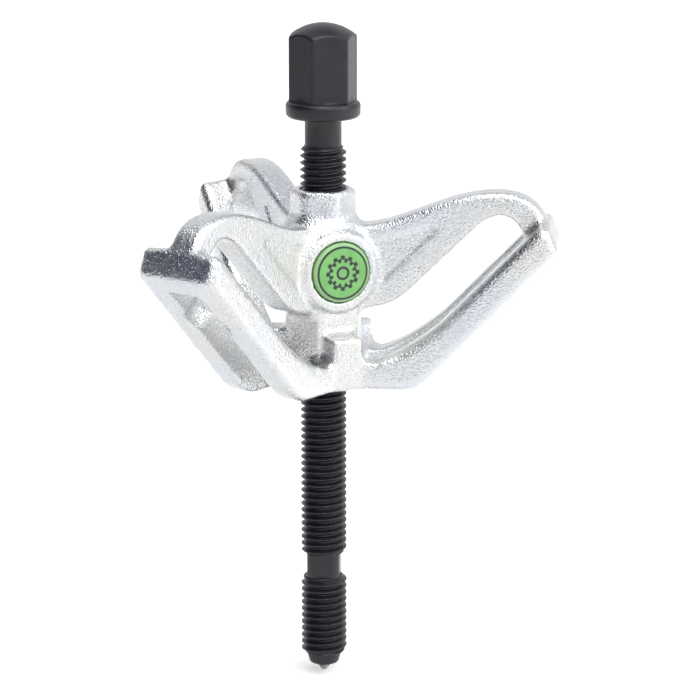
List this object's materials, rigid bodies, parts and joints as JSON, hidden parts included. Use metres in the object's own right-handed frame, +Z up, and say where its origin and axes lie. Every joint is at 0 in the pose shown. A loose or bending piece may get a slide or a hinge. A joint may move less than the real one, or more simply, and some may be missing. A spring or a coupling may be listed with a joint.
{
  "type": "gear puller",
  "caption": "Three-arm gear puller with slotted sloping arms, a hexagonal hub and a threaded pressure spindle with a domed hexagon head.",
  "frame": {"origin": "on the spindle axis, in the small flat end of the pressure point", "axes": "+Z up along the spindle axis towards the hexagon head; +X along the middle of the first arm; the badge faces 300 degrees, counted from +X towards +Y"},
  "size_m": [0.0835, 0.096, 0.1429],
  "materials": {
    "zinc_forging": "bright zinc plate over a fine forged grain",
    "green_badge": "gloss enamel",
    "black_oxide_steel": "satin black oxide, turned and milled",
    "bright_steel": "ground bare steel"
  },
  "bodies": {
    "frame": {"puller_body": "zinc_forging", "badge": "green_badge"},
    "point": {"pressure_point": "bright_steel"},
    "screw": {"spindle": "black_oxide_steel"}
  },
  "joints": [
    {"name": "spindle_feed", "type": "slide", "parent": "frame", "child": "point", "axis": [0, 0, -1], "range_m": [-0.06, 0.0148]},
    {"name": "spindle_turn", "type": "hinge", "parent": "point", "child": "screw", "pos_m": [0, 0, 0], "axis": [0, 0, -1], "range_deg": [-14401, 3553]}
  ],
  "couplings": [
    {"joint": "spindle_turn", "follows": "spindle_feed", "rad_per_m": 4188.8}
  ]
}
